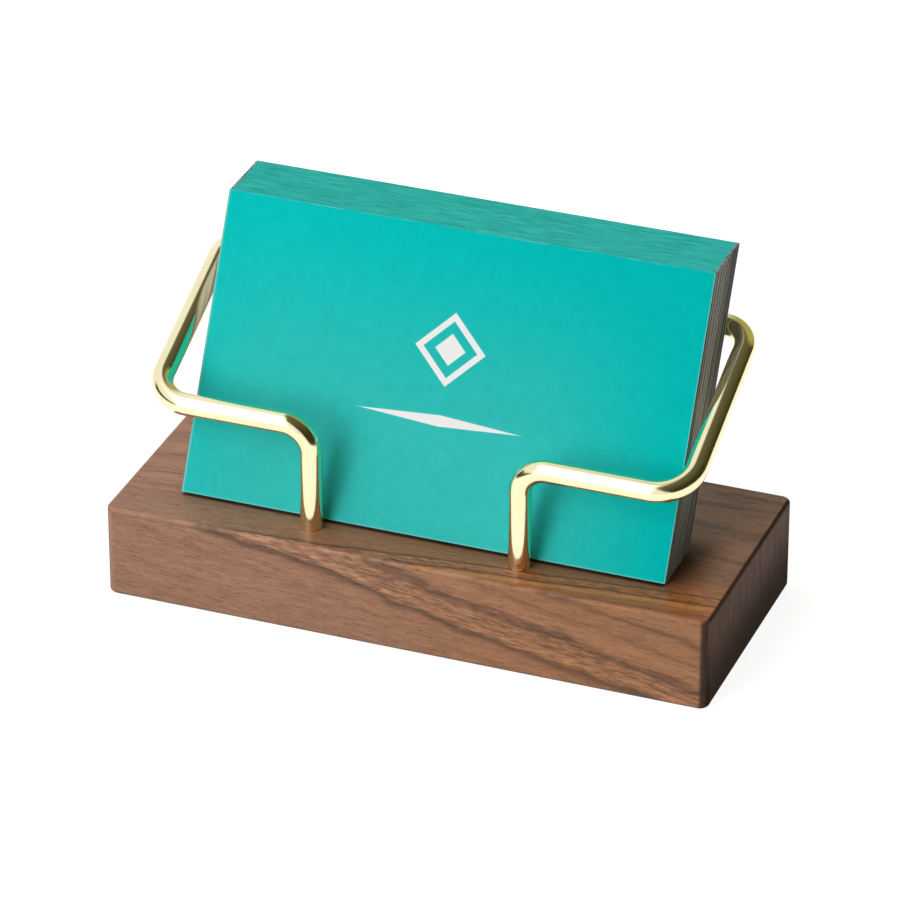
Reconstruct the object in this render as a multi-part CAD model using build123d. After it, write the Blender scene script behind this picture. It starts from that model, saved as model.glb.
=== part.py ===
from build123d import *

import os
from math import cos, radians, sin, tan

# Desk stand for business cards: a walnut block, one bent brass rod and a leaning deck of cards.
# Millimetres, +Z up, +Y towards the back. The origin is the middle of the block's underside.

# Walnut block
base_length = 111.8
base_depth = 46.6
base_height = 17.5
base_corner_radius = 1.8  # upright edges
base_edge_radius = 0.7  # edges of the top and the underside

# Cards
card_width = 90.0
card_height = 54.0
card_thickness = 0.35
card_count = 31
card_lean = 26.5  # degrees back from upright
card_air_gap = 0.01  # between neighbouring cards
card_rest_gap = 0.25  # between a card's lowest edge and the block
card_jog = 0.08  # furthest that a card sits off the middle of the deck
card_jog_turn = 2.4  # radians from one card to the next in the jog's wave

# Brass rod
wire_diameter = 4.0
post_spacing = 38.6  # between the two posts' axes
post_setback = 6.75  # from the block's front face to the posts' axes
front_bar_rise = 19.6  # from the block's top to the front bars' axis
rear_bar_rise = 34.7  # from the block's top to the rear bar's axis
post_bend_radius = 5.0  # all bend radii are on the rod's axis
front_corner_radius = 6.5
rear_corner_radius = 5.0

# Fits between the rod, the block and the deck
leg_depth = 12.0
leg_clearance = 0.05  # radial, filled with glue
leg_end_gap = 0.5
leg_end_chamfer = 0.4
card_front_clearance = 0.45  # from a post to the front card's lowest edge
card_rear_clearance = 0.3  # from the last card to the rear bar
card_side_clearance = 2.1  # from the deck's side to an arm

# Places that follow from the sizes above
wire_radius = wire_diameter / 2
lean = radians(card_lean)
post_x = post_spacing / 2
post_y = -base_depth / 2 + post_setback
front_bar_z = base_height + front_bar_rise
rear_bar_z = base_height + rear_bar_rise
arm_x = card_width / 2 + card_side_clearance + wire_radius

# A card stands on the lower edge of its rear face, so the deck's places are those of that edge
card_foot_z = base_height + card_rest_gap
front_foot_y = post_y + wire_radius + card_front_clearance + card_thickness * cos(lean)
card_step_y = (card_thickness + card_air_gap) / cos(lean)
last_foot_y = front_foot_y + (card_count - 1) * card_step_y
rear_face_y = last_foot_y + (rear_bar_z - card_foot_z) * tan(lean)
rear_bar_y = rear_face_y + (wire_radius + card_rear_clearance) / cos(lean)


def walnut_base():
    """The block with rounded corners, softened edges and a blind hole under each post."""
    block = Box(base_length, base_depth, base_height, align=(Align.CENTER, Align.CENTER, Align.MIN))
    block = fillet(block.edges().filter_by(Axis.Z), base_corner_radius)
    rims = block.faces().filter_by(Axis.Z).edges()
    block = fillet(rims, base_edge_radius)
    hole_depth = leg_depth + leg_end_gap
    for side in (-1, 1):
        mouth = Pos(side * post_x, post_y, base_height)
        block -= mouth * Cylinder(
            wire_radius + leg_clearance, hole_depth, align=(Align.CENTER, Align.CENTER, Align.MAX)
        )
    return block


def wire_path():
    """The rod's axis from the right leg's end round the deck to the left leg's end."""
    right_corners = [
        (post_x, post_y, base_height - leg_depth),
        (post_x, post_y, front_bar_z),
        (arm_x, post_y, front_bar_z),
        (arm_x, rear_bar_y, rear_bar_z),
    ]
    left_corners = [(-x, y, z) for x, y, z in reversed(right_corners)]
    right_radii = [post_bend_radius, front_corner_radius, rear_corner_radius]
    return FilletPolyline(*right_corners, *left_corners, radius=right_radii + right_radii[::-1])


def wire_frame():
    """The round rod swept along its bent axis, with the two leg ends chamfered."""
    path = wire_path()
    section = Plane(origin=path @ 0, z_dir=path % 0) * Circle(wire_radius)
    rod = sweep(section, path=path)
    leg_ends = rod.faces().sort_by(Axis.Z)[:2]
    return chamfer(leg_ends.edges(), leg_end_chamfer)


def card(index):
    """One card, counted from 0 at the front, leaning back with its foot on the block."""
    foot = (
        -card_jog * cos(card_jog_turn * index),
        front_foot_y + index * card_step_y,
        card_foot_z,
    )
    upright = (0, sin(lean), cos(lean))
    sheet = Box(
        card_width, card_thickness, card_height, align=(Align.CENTER, Align.MAX, Align.MIN)
    )
    return Plane(origin=foot, x_dir=(1, 0, 0), z_dir=upright) * sheet


os.makedirs("parts", exist_ok=True)
export_step(walnut_base(), "parts/walnut_base.step")
export_step(wire_frame(), "parts/wire_frame.step")
for index in range(card_count):
    export_step(card(index), f"parts/card_{index + 1:02d}.step")
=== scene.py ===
"""Looks of the desk card stand: materials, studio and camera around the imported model."""

import math

import bpy
from mathutils import Matrix, Vector

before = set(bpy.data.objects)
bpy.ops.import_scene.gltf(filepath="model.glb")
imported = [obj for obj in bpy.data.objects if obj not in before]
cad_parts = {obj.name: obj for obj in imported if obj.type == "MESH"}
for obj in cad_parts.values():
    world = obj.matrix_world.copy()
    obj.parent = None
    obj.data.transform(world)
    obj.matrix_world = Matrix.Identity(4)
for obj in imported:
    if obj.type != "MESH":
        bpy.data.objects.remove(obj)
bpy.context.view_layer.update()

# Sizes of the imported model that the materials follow, in millimetres
BASE_HALF = (55.9, 23.3, 8.75)
EDGE_BAND = (0.9, 0.1)  # how far in from the faces an edge's band begins, and where it is full: its wear, painted highlight and painted shade
CARD_LEAN = math.radians(26.5)
CARD_WIDTH = 90.0
CARD_HEIGHT = 54.0
CARD_FOOT = (-13.7868, 17.75)  # y and z of the front card's rear lower edge
CARD_PITCH = 0.36
CARD_THICK = 0.35
POST_SIDE = 19.3  # the rod's axis: x of the posts and of the arms, y and z of the bars
ARM_SIDE = 49.1
FRONT_BAR = (-16.55, 37.1)
REAR_BAR = (18.027, 52.2)
ROD_REACH = 2.6  # a little more than the rod's radius
POST_BEND = 5.0  # radii of the rod's bends
FRONT_BEND = 6.5
REAR_BEND = 5.0

# Printed ornament on the front card, in millimetres from the middle of its face
DIAMOND_RISE = 6.0
DIAMOND_OUTER = 6.5  # half widths: outside and inside of its frame, and its core
DIAMOND_INNER = 5.0
DIAMOND_CORE = 2.8
DIAMOND_BLUR = 0.1
RULE_DROP = 6.5
RULE_HALF = 15.0  # half its length, and half its height in the middle
RULE_SWELL = 1.0
RULE_BLUR = 0.08

# Tone of the walnut by growth layer: late wood dark, with a pale layer beside it
FIGURE_START = -15.0
FIGURE_SPAN = 45.0
FIGURE = (
    (-15.0, 0.92), (-12.5, 0.86), (-11.0, 0.98), (-7.0, 0.90), (-5.5, 1.03), (-2.0, 0.94), (-1.0, 1.03),
    (4.0, 1.0), (4.8, 0.90), (6.0, 1.03), (8.4, 1.0), (9.0, 0.78), (9.6, 0.46), (10.1, 0.46), (10.6, 0.98),
    (11.5, 1.26), (12.2, 1.08), (12.8, 0.86), (13.4, 1.08), (14.6, 0.95), (15.3, 0.5), (16.1, 0.60),
    (16.9, 1.06), (18.5, 1.16), (20.0, 0.98), (20.5, 0.76), (21.2, 1.02), (23.3, 0.97), (24.1, 0.58),
    (24.8, 0.92), (26.0, 1.12), (29.0, 0.85),
)

# Colours of the walnut, linear
WOOD_LEFT = (0.455, 0.234, 0.142)
WOOD_RIGHT = (0.44, 0.203, 0.094)
# Painted shade and painted shadow of the cards on the top
WOOD_CARD_SHADE = (0.10, 0.055, 0.034)
WOOD_CARD_SHADOW = (0.016, 0.010, 0.008)
# Painted shadow line under the front card's foot
WOOD_LINE_SHADOW = (0.012, 0.008, 0.006)
WOOD_PORE = (0.085, 0.042, 0.028)
# Painted shade on the upper edge of the right end
WOOD_EDGE_SHADE = (0.03, 0.018, 0.015)
# Paler long edges: rubbed wear and a painted highlight
WOOD_WORN_HIGHLIGHT = (0.60, 0.40, 0.28)
WOOD_FOOT = (0.07, 0.045, 0.04)
# End grain: the right end's colours are painted paler than the left end's to stand for light; the foot and
# rounded-corner colours are painted shade
END_FRONT = (0.33, 0.222, 0.22)
END_BACK = (0.46, 0.33, 0.35)
END_LEFT = (0.16, 0.11, 0.10)
END_FOOT_SHADE = (0.008, 0.005, 0.004)
END_CORNER_SHADE = (0.075, 0.049, 0.042)

# Colours of the cards, linear
# The ink is painted lighter on the left and darker on the right, as light falls; the haze is a painted
# sheen low down, with painted shade under the bars
INK_LIT_LEFT = (0.002, 0.615, 0.590)
INK_SHADED_RIGHT = (0.0, 0.545, 0.525)
INK_HAZE = (0.042, 0.57, 0.545)
INK_FIBRE = (0.01, 0.66, 0.62)
PRINT_WHITE = (0.97, 0.98, 0.98)
RIM_PALE = (0.30, 0.70, 0.66)
SLIT_DARK = (0.08, 0.088, 0.09)
SLIT_PALE = (0.46, 0.46, 0.46)
FLANK_DARK = (0.36, 0.36, 0.40)
# Painted shade at the foot of the deck's flank
FLANK_FOOT_SHADE = (0.13, 0.15, 0.15)
SEAM_TOP = (0.008, 0.16, 0.14)
SEAM_FLANK = (0.06, 0.06, 0.065)

FACING = (0.6, 0.8)  # how squarely a face has to look a certain way to count as that face

# Studio; colours are linear
FLOOR_HALF = 6.0  # metres
FLOOR_GLOW = 0.9  # what the camera and the metal see of the floor, besides the light on it
FLOOR_GREY = 0.32
DARK_LOW = (0.040, 0.036, 0.013)
DARK_HIGH = (0.130, 0.122, 0.074)
DARK_BEHIND = (0.42, 0.38, 0.13)
WHITE_SIDE = 0.95
KEY_PATCH = 1.75
AIM = Vector((0.0, 0.0, 0.030))  # the middle of the stand, in metres
IMAGE_SIDE = 900  # pixels
SENSOR = 36.0  # millimetres


def grey(value):
    return (value, value, value)


def opaque(colour):
    """A colour socket as it is, or the three parts of a colour with full alpha."""
    return (*colour, 1.0) if isinstance(colour, tuple) else colour


class Nodes:
    """One node tree, with short calls for the nodes that it needs."""

    def __init__(self, tree):
        self.tree = tree
        self.tree.nodes.clear()

    def node(self, kind, inputs=None, **settings):
        made = self.tree.nodes.new(kind)
        for key, value in settings.items():
            setattr(made, key, value)
        for key, value in (inputs or {}).items():
            self.put(made.inputs[key], value)
        return made

    def put(self, socket, value):
        if isinstance(value, bpy.types.NodeSocket):
            self.tree.links.new(value, socket)
        else:
            socket.default_value = value

    def math(self, operation, *values):
        made = self.node("ShaderNodeMath", operation=operation)
        for socket, value in zip(made.inputs, values):
            self.put(socket, value)
        return made.outputs[0]

    def sum(self, *values):
        total = values[0]
        for value in values[1:]:
            total = self.math("ADD", total, value)
        return total

    def times(self, *values):
        total = values[0]
        for value in values[1:]:
            total = self.math("MULTIPLY", total, value)
        return total

    def less(self, first, second):
        return self.math("SUBTRACT", first, second)

    def size(self, value):
        return self.math("ABSOLUTE", value)

    def most(self, first, second):
        return self.math("MAXIMUM", first, second)

    def least(self, first, second):
        return self.math("MINIMUM", first, second)

    def step(self, value, low, high, to_low=0.0, to_high=1.0):
        made = self.node(
            "ShaderNodeMapRange",
            {0: value, 1: low, 2: high, 3: to_low, 4: to_high},
            interpolation_type="SMOOTHSTEP",
        )
        return made.outputs[0]

    def between(self, value, rise, fall):
        """One from the end of the rise to the end of the fall, and zero outside them."""
        return self.times(self.step(value, *rise), self.step(value, *fall))

    def vector(self, x, y, z):
        return self.node("ShaderNodeCombineXYZ", {0: x, 1: y, 2: z}).outputs[0]

    def parts(self, vector):
        return self.node("ShaderNodeSeparateXYZ", {0: vector}).outputs[:]

    def arrow(self, operation, *values):
        made = self.node("ShaderNodeVectorMath", operation=operation)
        for socket, value in zip(made.inputs, values):
            self.put(socket, value)
        return made.outputs[0]

    def scaled(self, vector, scale):
        made = self.node("ShaderNodeVectorMath", {0: vector, "Scale": scale}, operation="SCALE")
        return made.outputs[0]

    def dot(self, vector, direction):
        made = self.node("ShaderNodeVectorMath", {0: vector, 1: direction}, operation="DOT_PRODUCT")
        return made.outputs["Value"]

    def length(self, vector):
        return self.node("ShaderNodeVectorMath", {0: vector}, operation="LENGTH").outputs["Value"]

    def noise(self, places, rates, detail=2.0, roughness=0.5, seed=()):
        """Noise over up to three places, each at its own rate; the seed fills the other places."""
        spots = [self.times(place, rate) for place, rate in zip(places, rates)]
        made = self.node(
            "ShaderNodeTexNoise",
            {"Vector": self.vector(*spots, *seed), "Scale": 1.0, "Detail": detail, "Roughness": roughness},
        )
        return made.outputs[0]

    def mix(self, factor, first, second, mode="MIX"):
        made = self.node("ShaderNodeMix", data_type="RGBA", blend_type=mode)
        self.put(made.inputs[0], factor)
        self.put(made.inputs[6], opaque(first))
        self.put(made.inputs[7], opaque(second))
        return made.outputs[2]

    def tinted(self, colour, tint):
        return self.mix(1.0, colour, tint, "MULTIPLY")

    def ramp(self, factor, *stops):
        """A colour ramp; a stop is its position with a colour or with a shade of grey."""
        made = self.node("ShaderNodeValToRGB", {0: factor})
        elements = made.color_ramp.elements
        while len(elements) < len(stops):
            elements.new(0.5)
        for element, (position, colour) in zip(elements, stops):
            element.position = position
            element.color = opaque(colour if isinstance(colour, tuple) else grey(colour))
        return made.outputs[0]


class Shader(Nodes):
    """One node material around a principled surface."""

    def __init__(self, name):
        self.material = bpy.data.materials.new(name)
        self.material.use_nodes = True
        super().__init__(self.material.node_tree)
        self.out = self.node("ShaderNodeOutputMaterial")
        self.bsdf = self.node("ShaderNodeBsdfPrincipled")
        self.tree.links.new(self.bsdf.outputs[0], self.out.inputs[0])

    def set(self, **values):
        for key, value in values.items():
            self.put(self.bsdf.inputs[key.replace("_", " ")], value)

    def point(self):
        """The point in the object's own frame, in millimetres."""
        return self.scaled(self.node("ShaderNodeTexCoord").outputs["Object"], 1000.0)

    def normal(self):
        return self.node("ShaderNodeNewGeometry").outputs["Normal"]

    def facing(self, direction):
        return self.dot(self.normal(), direction)

    def bump(self, height, strength, distance, normal=None):
        made = self.node("ShaderNodeBump", {"Strength": strength, "Distance": distance, "Height": height})
        if normal:
            self.put(made.inputs["Normal"], normal)
        return made.outputs[0]


def walnut():
    """Oiled walnut: slanting growth layers, fibres, pores, matt end grain and rubbed edges, with painted
    shade and shadow from the cards, painted shade on the top and end grain, and a painted highlight on the
    long edges.
    """
    s = Shader("walnut_satin")
    place = s.parts(s.point())
    x, y, z = place
    across = s.size(x)
    top = s.step(s.facing((0, 0, 1)), 0.5, 0.9)

    # Growth layers fall to the right on the front face and run along the block on its top
    slow = s.less(s.noise(place, (0.02, 0.05, 0.06)), 0.5)
    quick = s.less(s.noise(place, (0.15, 0.34, 0.34), 3.0), 0.5)
    inwards = s.sum(y, BASE_HALF[1])
    layer = s.sum(z, s.times(x, 0.207), s.times(inwards, -2.3), s.times(slow, 7.0), s.times(quick, 2.6))
    bands = s.noise((x, layer), (0.008, 0.17), 3.0, 0.6, seed=(3.7,))
    plain = s.ramp(bands, (0.35, 0.40), (0.44, 0.74), (0.53, 1.0), (0.66, 1.2))
    # At the right end of the top they are loose waves
    wave = s.noise((x, s.sum(y, s.times(quick, 3.0))), (0.05, 0.36), 3.0, 0.6, seed=(8.3,))
    wave = s.ramp(wave, (0.40, (0.52, 0.46, 0.43)), (0.47, (0.92, 0.91, 0.90)), (0.58, 1.10))
    plain = s.mix(s.times(s.step(x, 34.0, 44.0), top), plain, wave)
    # The figure in front: dark late wood with a pale layer beside each dark one
    figure = s.ramp(
        s.times(s.sum(layer, -FIGURE_START), 1.0 / FIGURE_SPAN),
        *[((at - FIGURE_START) / FIGURE_SPAN, tone) for at, tone in FIGURE],
    )
    tone = s.mix(s.between(layer, (-16.0, -12.0), (31.0, 28.0)), plain, figure)
    colour = s.tinted(s.mix(s.step(x, -30.0, 35.0), WOOD_LEFT, WOOD_RIGHT), tone)

    # The top is tinted darker than the front, a painted shade for light that falls more on the front; with
    # a golden layer near the front edge, a darker greyer patch right of the cards and a cooler left end
    golden = s.between(layer, (15.8, 17.4), (21.5, 19.5))
    tint = s.mix(s.step(y, -15.0, -10.0), (0.95, 0.74, 0.59), (0.96, 0.85, 0.78))
    tint = s.mix(s.times(s.step(x, 30.0, 46.0), s.step(y, -14.0, -9.0)), tint, (0.73, 0.675, 0.72))
    tint = s.mix(golden, tint, (1.18, 0.98, 0.64))
    tint = s.mix(s.step(x, -35.0, 0.0), (0.92, 0.84, 0.80), tint)
    colour = s.mix(top, colour, s.tinted(colour, tint))

    # Under the cards, in front of their foot and beside their right side the top is darkened, more towards
    # the right: painted shade and shadow of the cards
    painted_card_shade = s.times(
        s.step(across, 50.0, 45.0),
        s.between(y, (-18.5, -14.5), (4.0, 0.0)),
        s.step(x, -20.0, 15.0, 0.2, 0.47),
    )
    colour = s.mix(s.times(painted_card_shade, top), colour, WOOD_CARD_SHADE)
    # A painted contact shadow beside the cards' right foot
    painted_contact_shadow = s.times(
        s.between(x, (30.0, 46.0), (54.0, 45.5)),
        s.between(y, (-15.2, -11.5), (7.0, -3.0)),
        0.6,
    )
    # Painted shade over the cards' footprint
    painted_footprint_shade = s.times(
        s.between(x, (-45.2, -38.0), (54.0, 45.5)),
        s.between(y, (-13.8, -11.5), (5.0, -3.0)),
        0.33,
    )
    painted_shadow = s.most(painted_contact_shadow, painted_footprint_shade)
    colour = s.mix(s.times(painted_shadow, top), colour, WOOD_CARD_SHADOW)
    # A thin dark line on the top along the front card's foot: a painted shadow of the card
    painted_line_shadow = s.times(s.step(across, 45.1, 44.6), s.between(y, (-14.75, -14.35), (-12.6, -13.4)))
    colour = s.mix(s.times(painted_line_shadow, top, 0.75), colour, WOOD_LINE_SHADOW)

    # Fibres run along the block and fall a little to the right
    fall = s.sum(z, s.times(x, 0.045), s.times(slow, 2.0))
    fibre = s.noise((x, y, fall), (0.28, 2.0, 2.0), 4.0, 0.65)
    colour = s.tinted(colour, s.ramp(fibre, (0.32, (0.72, 0.70, 0.68)), (0.68, 1.08)))
    # Between the dark layers the fibres rise to the face in short feathers
    feather = s.noise((x, y, s.sum(fall, s.times(x, 0.06))), (0.42, 2.6, 2.6), 2.0, 0.6)
    feather = s.ramp(feather, (0.36, (0.62, 0.58, 0.56)), (0.5, 1.0), (0.64, 1.28))
    belt = s.between(layer, (8.5, 11.0), (18.5, 15.5))
    colour = s.mix(belt, colour, s.tinted(colour, feather))
    pores = s.step(s.noise((x, y, fall), (0.8, 3.4, 3.4)), 0.57, 0.7)
    colour = s.mix(s.times(pores, 0.42), colour, WOOD_PORE)

    # End grain drinks more oil, so it is darker and matt; the right end is painted paler than the left to
    # stand for light, paler towards the back, and darker towards its foot, which is painted shade
    end = s.most(s.step(s.facing((1, 0, 0)), 0.1, 0.45), s.step(s.facing((-1, 0, 0)), 0.5, 0.95))
    end_grain_and_shade = s.mix(s.step(y, -20.0, 12.0), END_FRONT, END_BACK)
    end_grain_and_shade = s.mix(s.step(x, -1.0, 1.0), END_LEFT, end_grain_and_shade)
    end_grain_and_shade = s.mix(s.step(z, 2.0, 16.0), END_FOOT_SHADE, end_grain_and_shade)
    streaks = s.noise((y, z), (0.9, 0.10), 3.0, 0.6, seed=(2.2,))
    end_grain_and_shade = s.tinted(end_grain_and_shade, s.ramp(streaks, (0.36, 0.80), (0.64, 1.18)))
    # The rounded corner into the right end takes a dark colour: painted shade
    end_grain_and_shade = s.mix(s.step(s.size(s.facing((1, 0, 0))), 0.75, 0.98), END_CORNER_SHADE, end_grain_and_shade)
    colour = s.mix(s.times(end, 0.9), colour, end_grain_and_shade)

    # The long edges are paler, partly rubbed wear and partly a painted highlight, weaker to the right; the
    # upper edge of the right end is dark, a painted shade
    near = [
        s.step(s.size(part), half - EDGE_BAND[0], half - EDGE_BAND[1])
        for part, half in zip((x, y, s.sum(z, -BASE_HALF[2])), BASE_HALF)
    ]
    edge = s.times(near[1], near[2])
    painted_edge_shade = s.times(near[0], near[2], s.step(x, 0.0, 1.0))
    colour = s.mix(s.times(painted_edge_shade, 0.65), colour, WOOD_EDGE_SHADE)
    broken = s.noise((x,), (0.13,), 3.0, 0.6, seed=(4.0, 1.0))
    worn_and_highlight = s.times(edge, s.step(broken, 0.4, 0.62), s.step(x, 0.0, 25.0, 0.5, 0.2))
    colour = s.mix(worn_and_highlight, colour, WOOD_WORN_HIGHLIGHT)
    # The foot of the block lies in its own shade
    colour = s.mix(s.step(z, 0.9, 0.1, 0.0, 0.55), colour, WOOD_FOOT)

    roughness = s.sum(
        0.24,
        s.times(fibre, 0.1),
        s.times(pores, 0.2),
        s.times(end, 0.8),
        s.times(edge, 0.25),
        s.times(painted_shadow, 0.83),
    )
    s.set(
        Base_Color=colour,
        Roughness=roughness,
        Specular_IOR_Level=0.35,
        Normal=s.bump(s.less(s.times(fibre, 0.4), pores), 0.35, 0.00008),
    )
    return s.material


def rod_normal(s, x, y, z):
    """The normal of the bent rod: the mesh's own, but worked out from the axis in the bends.

    Facets would show in the bends, because the metal mirrors.
    """
    across = Vector((1, 0, 0))
    climb = Vector((0, REAR_BAR[0] - FRONT_BAR[0], REAR_BAR[1] - FRONT_BAR[1])).normalized()
    bends = (  # the corner of the axis, the radius, and the two ways outwards
        (Vector((POST_SIDE, *FRONT_BAR)), POST_BEND, -across, Vector((0, 0, 1))),
        (Vector((ARM_SIDE, *FRONT_BAR)), FRONT_BEND, across, -climb),
        (Vector((ARM_SIDE, *REAR_BAR)), REAR_BEND, across, climb),
    )
    side = s.math("SIGN", x)
    place = s.vector(s.size(x), y, z)
    normal = s.normal()
    for corner, radius, one, other in bends:
        middle = corner - (one + other) * radius
        arm = s.arrow("SUBTRACT", place, middle)
        reach = (s.dot(arm, one), s.dot(arm, other))
        spoke = s.arrow("ADD", s.scaled(one, reach[0]), s.scaled(other, reach[1]))
        axis = s.scaled(s.arrow("NORMALIZE", spoke), radius)
        away = s.parts(s.arrow("NORMALIZE", s.arrow("SUBTRACT", arm, axis)))
        true = s.vector(s.times(away[0], side), away[1], away[2])
        here = s.times(
            s.math("GREATER_THAN", reach[0], 0.0),
            s.math("GREATER_THAN", reach[1], 0.0),
            s.math("LESS_THAN", s.length(arm), radius + ROD_REACH),
        )
        normal = s.node("ShaderNodeMix", {0: here, 4: normal, 5: true}, data_type="VECTOR").outputs[1]
    return normal


def brass():
    """Polished brass with faint clouding."""
    s = Shader("brass_polished")
    place = s.parts(s.point())
    cloud = s.noise(place, (0.12, 0.12, 0.12), 3.0)
    lines = s.noise(place, (1.1, 1.1, 1.1), 4.0, 0.7)
    s.set(
        Base_Color=s.ramp(cloud, (0.35, (0.92, 0.835, 0.52)), (0.65, (0.955, 0.88, 0.58))),
        Metallic=1.0,
        Roughness=s.sum(0.10, s.times(cloud, 0.05), s.times(lines, 0.03)),
        Normal=s.bump(lines, 0.025, 0.00004, rod_normal(s, *place)),
    )
    return s.material


def card_stock(name, leading):
    """Teal card; the leading card shows its whole face, the others only their cut edges and top strips."""
    s = Shader(name)
    point = s.point()
    place = s.parts(point)
    x, _, z = place
    across = s.size(x)
    out = (0.0, -math.cos(CARD_LEAN), math.sin(CARD_LEAN))
    front = s.step(s.facing(out), *FACING)
    face = s.step(s.size(s.facing(out)), *FACING)
    side = s.step(s.size(s.facing((1, 0, 0))), *FACING)
    # Height on the card's own face, from its foot
    foot_z = CARD_FOOT[1] + CARD_THICK * math.sin(CARD_LEAN)
    height = s.times(s.sum(z, -foot_z), 1.0 / math.cos(CARD_LEAN))

    # Ink, painted lighter on the left than on the right as light falls, with a painted haze low down: a
    # reddish sheen for light reflected off the card, a little darker as painted shade under the bars
    fibre = s.noise(place, (1.6, 1.6, 1.6), 4.0, 0.65)
    cloud = s.noise(place, (0.45, 0.45, 0.45), 4.0, 0.65)
    ink = s.mix(s.step(x, -50.0, 50.0), INK_LIT_LEFT, INK_SHADED_RIGHT)
    painted_haze = s.times(s.step(height, CARD_HEIGHT, 12.0), s.between(x, (-62.0, -28.0), (46.0, 12.0)))
    ink = s.mix(painted_haze, ink, INK_HAZE)
    ink = s.tinted(ink, s.ramp(cloud, (0.3, (0.92, 0.955, 0.955)), (0.7, (1.08, 1.045, 1.045))))
    ink = s.mix(s.times(fibre, 0.06), ink, INK_FIBRE)

    # Plain printer's ornament: a framed diamond over a rule that swells to its middle
    spread = s.sum(across, s.size(s.sum(height, -CARD_HEIGHT / 2 - DIAMOND_RISE)))
    ring = s.between(
        spread,
        (DIAMOND_INNER - DIAMOND_BLUR, DIAMOND_INNER + DIAMOND_BLUR),
        (DIAMOND_OUTER + DIAMOND_BLUR, DIAMOND_OUTER - DIAMOND_BLUR),
    )
    core = s.step(spread, DIAMOND_CORE + DIAMOND_BLUR, DIAMOND_CORE - DIAMOND_BLUR)
    off = s.size(s.sum(height, -CARD_HEIGHT / 2 + RULE_DROP))
    swell = s.times(RULE_SWELL, s.less(1.0, s.times(across, 1.0 / RULE_HALF)))
    rule = s.step(s.less(off, swell), RULE_BLUR, -RULE_BLUR)
    ink = s.mix(s.times(front, s.most(s.most(ring, core), rule)), ink, PRINT_WHITE)

    # Border: the pale core shows around the leading face, the others lie in their neighbour's shade
    to_side = s.less(CARD_WIDTH / 2, across)
    border = s.least(to_side, s.least(height, s.less(CARD_HEIGHT, height)))
    tone = s.node("ShaderNodeObjectInfo").outputs["Random"]
    dash = s.noise((x, tone), (0.16, 90.0), 3.0, 0.6, seed=(0.0,))
    if leading:
        rim = s.most(s.step(height, 0.34, 0.1, 0.0, 0.4), s.step(to_side, 0.34, 0.1, 0.0, 0.65))
        rim = s.most(rim, s.times(s.step(border, 0.3, 0.1), s.step(dash, 0.35, 0.6), 0.3))
        ink = s.mix(rim, ink, RIM_PALE)
    else:
        shade = s.ramp(
            dash, (0.34, (0.034, 0.46, 0.42)), (0.5, (0.05, 0.565, 0.505)), (0.66, (0.075, 0.65, 0.58))
        )
        ink = s.mix(s.step(border, 0.5, 0.3), ink, shade)
        ink = s.mix(s.step(to_side, 0.5, 0.3), ink, s.mix(tone, SLIT_DARK, SLIT_PALE))

    # Cut edges, by the place across the thickness, which is the same for every card of the deck
    start = -(CARD_FOOT[0] * out[1] + CARD_FOOT[1] * out[2])
    depth = s.sum(s.times(s.dot(point, out), -1.0), -start, CARD_THICK)
    within = s.math("FRACT", s.times(depth, 1.0 / CARD_PITCH))
    seam = s.most(s.step(within, 0.2, 0.02), s.step(within, 0.78, 0.96))
    seam = s.times(seam, s.sum(0.05, s.step(tone, 0.55, 0.95, 0.0, 0.5)))
    streak = s.noise((x, depth, height), (0.09, 2.8, 0.09), 3.0, 0.6)
    mixed = s.sum(s.times(streak, 0.7), s.times(tone, 0.3))
    top = s.ramp(mixed, (0.3, (0.012, 0.30, 0.27)), (0.5, (0.03, 0.38, 0.34)), (0.7, (0.07, 0.44, 0.39)))
    flank = s.ramp(mixed, (0.3, (0.80, 0.83, 0.90)), (0.5, (0.94, 0.96, 0.99)), (0.7, (0.98, 0.98, 0.99)))
    group = s.noise((depth, height), (0.75, 0.012), 2.0, 0.6, seed=(5.0,))
    flank = s.mix(s.step(group, 0.49, 0.40), flank, FLANK_DARK)
    # The flank is painted darker towards its foot: painted shade
    flank = s.mix(s.step(height, 36.0, 0.0, 0.0, 0.72), flank, FLANK_FOOT_SHADE)
    cut = s.mix(seam, s.mix(side, top, flank), s.mix(side, SEAM_TOP, SEAM_FLANK))

    s.set(
        Base_Color=s.mix(face, cut, ink),
        Roughness=s.sum(0.42, s.times(fibre, 0.12)),
        Specular_IOR_Level=0.01,
        Normal=s.bump(fibre, 0.08, 0.00003),
    )
    return s.material


def dress(nodes, material):
    for name in nodes:
        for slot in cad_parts[name].material_slots:
            slot.material = material


def floor():
    """A pale floor that the camera and the metal see as white, and that keeps the shadow."""
    mesh = bpy.data.meshes.new("floor")
    corners = [(i * FLOOR_HALF, j * FLOOR_HALF, 0) for i, j in ((-1, -1), (1, -1), (1, 1), (-1, 1))]
    mesh.from_pydata(corners, [], [(0, 1, 2, 3)])
    plane = bpy.data.objects.new("floor", mesh)
    bpy.context.collection.objects.link(plane)
    s = Shader("floor_paper")
    s.tree.nodes.remove(s.bsdf)
    path = s.node("ShaderNodeLightPath").outputs
    seen = s.sum(path["Is Camera Ray"], path["Is Glossy Ray"], path["Is Transmission Ray"])
    white = s.times(s.least(seen, 1.0), FLOOR_GLOW)
    glow = s.node("ShaderNodeEmission", {"Color": opaque(grey(1.0)), "Strength": white})
    matte = s.node("ShaderNodeBsdfDiffuse", {"Color": opaque(grey(FLOOR_GREY))})
    both = s.node("ShaderNodeAddShader", {0: glow.outputs[0], 1: matte.outputs[0]})
    s.tree.links.new(both.outputs[0], s.out.inputs[0])
    mesh.materials.append(s.material)


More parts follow.
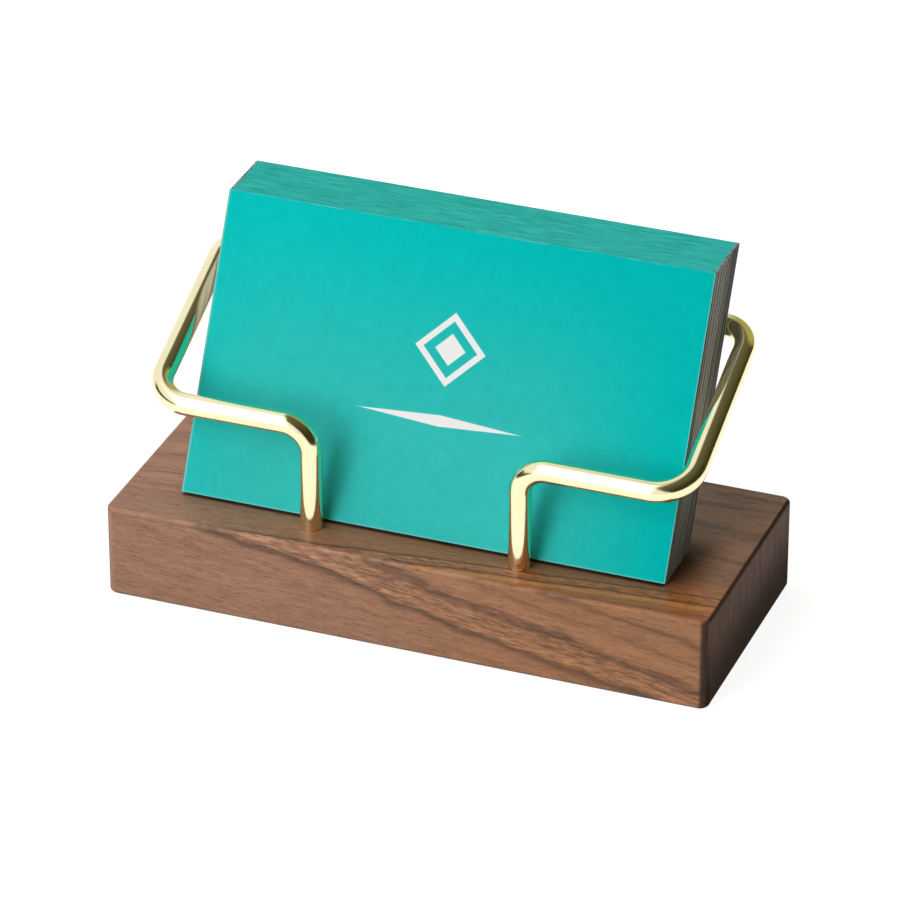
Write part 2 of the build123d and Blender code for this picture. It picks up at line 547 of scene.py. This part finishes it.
def softbox(name, place, size, radiance):
    """An area lamp that faces the stand."""
    lamp = bpy.data.lights.new(name, "AREA")
    lamp.shape = "RECTANGLE"
    lamp.size, lamp.size_y = size
    lamp.energy = radiance * math.pi * size[0] * size[1]
    holder = bpy.data.objects.new(name, lamp)
    holder.visible_glossy = False  # the metal mirrors the world's soft light, not the lamp's hard outline
    holder.location = place
    holder.rotation_euler = (Vector(place) - AIM).to_track_quat("Z", "Y").to_euler()
    bpy.context.collection.objects.link(holder)


def studio_world():
    """A studio that is bright on the left and dark on the right, with a dark gap low down on the left."""
    world = bpy.data.worlds.new("studio")
    bpy.context.scene.world = world
    world.use_nodes = True
    s = Nodes(world.node_tree)
    way = s.node("ShaderNodeTexCoord").outputs["Generated"]

    def towards(direction, low, high):
        return s.step(s.dot(way, Vector(direction).normalized()), low, high)

    # The dark side: greenish black, a little paler overhead and golden behind
    dark = s.mix(towards((-0.3, 0.0, 0.95), 0.1, 1.1), DARK_LOW, DARK_HIGH)
    dark = s.mix(towards((0.2, 0.85, 0.48), 0.72, 0.92), dark, DARK_BEHIND)
    # The bright side, all but the gap
    above = towards((0.21, -0.22, 0.953), 0.14, 0.22)
    outside_gap = towards((-0.85, -0.5, 0.1), 0.88, 0.80)
    bright = s.times(towards((-1.0, 0.0, 0.0), 0.12, 0.34), s.most(above, outside_gap))
    # A white sweep low down in front, which only the metal sees
    sweep = s.times(
        towards((0.762, 0.0, 0.648), 0.50, 0.42),
        towards((0.0, -1.0, 0.0), 0.3, 0.5),
        towards((1.0, 0.0, 0.0), -0.30, -0.15),
        s.node("ShaderNodeLightPath").outputs["Is Glossy Ray"],
    )
    colour = s.mix(s.most(bright, sweep), dark, grey(WHITE_SIDE))
    # The key light's soft patch, high in front and to the left
    key = s.times(
        towards((-1.0, 0.0, 0.0), 0.08, 0.26),
        towards((-1.0, 0.0, 0.0), 0.64, 0.36),
        towards((-0.31, -0.76, 0.57), 0.5, 0.85),
    )
    back = s.node("ShaderNodeBackground", {"Color": s.mix(key, colour, grey(KEY_PATCH), "ADD")})
    s.node("ShaderNodeOutputWorld", {0: back.outputs[0]})


def camera():
    """The photograph's viewpoint, with image lengths in pixels."""
    azimuth = math.radians(20.918)
    elevation = math.radians(29.239)
    focal = 5526.0
    distance = 0.96566  # metres
    shown_at = (449.10, 439.41)  # where the aim is seen
    flat = math.cos(elevation)
    back = Vector((math.sin(azimuth) * flat, -math.cos(azimuth) * flat, math.sin(elevation)))
    right = Vector((math.cos(azimuth), math.sin(azimuth), 0))
    up = back.cross(right)
    place = AIM + back * distance
    place -= right * ((shown_at[0] - IMAGE_SIDE / 2) * distance / focal)
    place += up * ((shown_at[1] - IMAGE_SIDE / 2) * distance / focal)
    data = bpy.data.cameras.new("camera")
    data.sensor_fit = "HORIZONTAL"
    data.sensor_width = SENSOR
    data.lens = focal / IMAGE_SIDE * SENSOR
    data.clip_start = 0.05
    data.clip_end = 30.0
    holder = bpy.data.objects.new("camera", data)
    turn = Matrix((right, up, back)).transposed()
    holder.matrix_world = Matrix.Translation(place) @ turn.to_4x4()
    bpy.context.collection.objects.link(holder)
    bpy.context.scene.camera = holder


dress(["walnut_base"], walnut())
dress(["wire_frame"], brass())
dress(["card_01"], card_stock("card_stock_face", leading=True))
other_cards = [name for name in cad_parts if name.startswith("card_") and name != "card_01"]
dress(other_cards, card_stock("card_stock_edge", leading=False))
floor()
studio_world()
softbox("key", place=(-0.113, -0.46, 0.27), size=(0.26, 0.42), radiance=2.92)
softbox("fill", place=(0.5, 0.05, 0.25), size=(0.5, 0.5), radiance=0.2)
camera()
bpy.context.scene.view_settings.view_transform = "Standard"
